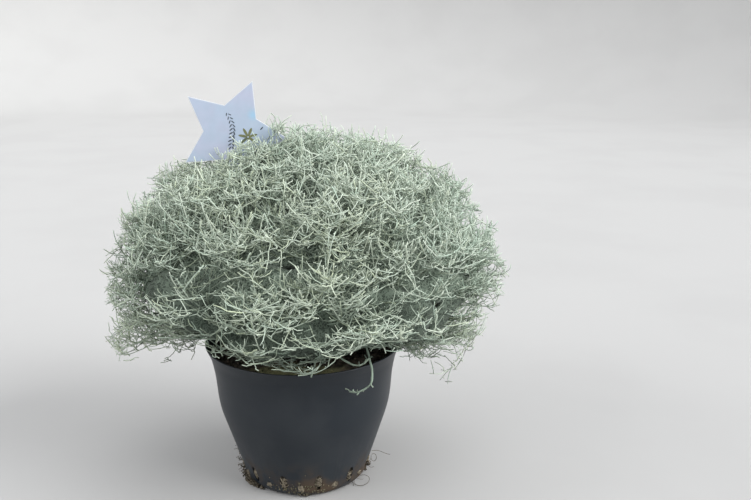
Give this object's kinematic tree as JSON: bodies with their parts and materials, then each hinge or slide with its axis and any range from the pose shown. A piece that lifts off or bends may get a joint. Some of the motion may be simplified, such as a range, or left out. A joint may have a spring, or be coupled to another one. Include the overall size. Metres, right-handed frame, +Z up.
{
  "type": "potted cushion bush",
  "caption": "Rounded bush of fine silvery wiry twigs that grows in a dark flared nursery pot with base drainage slots and a thin star-shaped plant label.",
  "frame": {"origin": "middle of the pot's flat foot, on the surface that it stands on", "axes": "+Z up along the pot's axis, +X to the right and -Y towards the front of the picture"},
  "size_m": [0.4097, 0.3763, 0.3968],
  "materials": {
    "pot_plastic": "injection moulded dark slate grey plastic with a soft low gloss, scuffed and dusty with soil near the foot",
    "soil": "dark crumbly peat with fine roots and a mossy patch in front",
    "label_plastic": "thin smooth satin plastic with pale blue and lilac washes",
    "silver_twigs": "matt silvery grey-green woolly twigs, paler at the tips and darker inside"
  },
  "bodies": {
    "root": {"pot": "pot_plastic", "soil": "soil", "label": "label_plastic", "spray_top_1": "silver_twigs", "spray_middle_1": "silver_twigs", "spray_middle_2": "silver_twigs", "spray_middle_3": "silver_twigs", "spray_middle_4": "silver_twigs", "spray_low_1": "silver_twigs", "spray_low_2": "silver_twigs", "spray_low_3": "silver_twigs", "spray_low_4": "silver_twigs", "spray_low_5": "silver_twigs", "spray_low_6": "silver_twigs", "spray_low_7": "silver_twigs"}
  },
  "joints": []
}
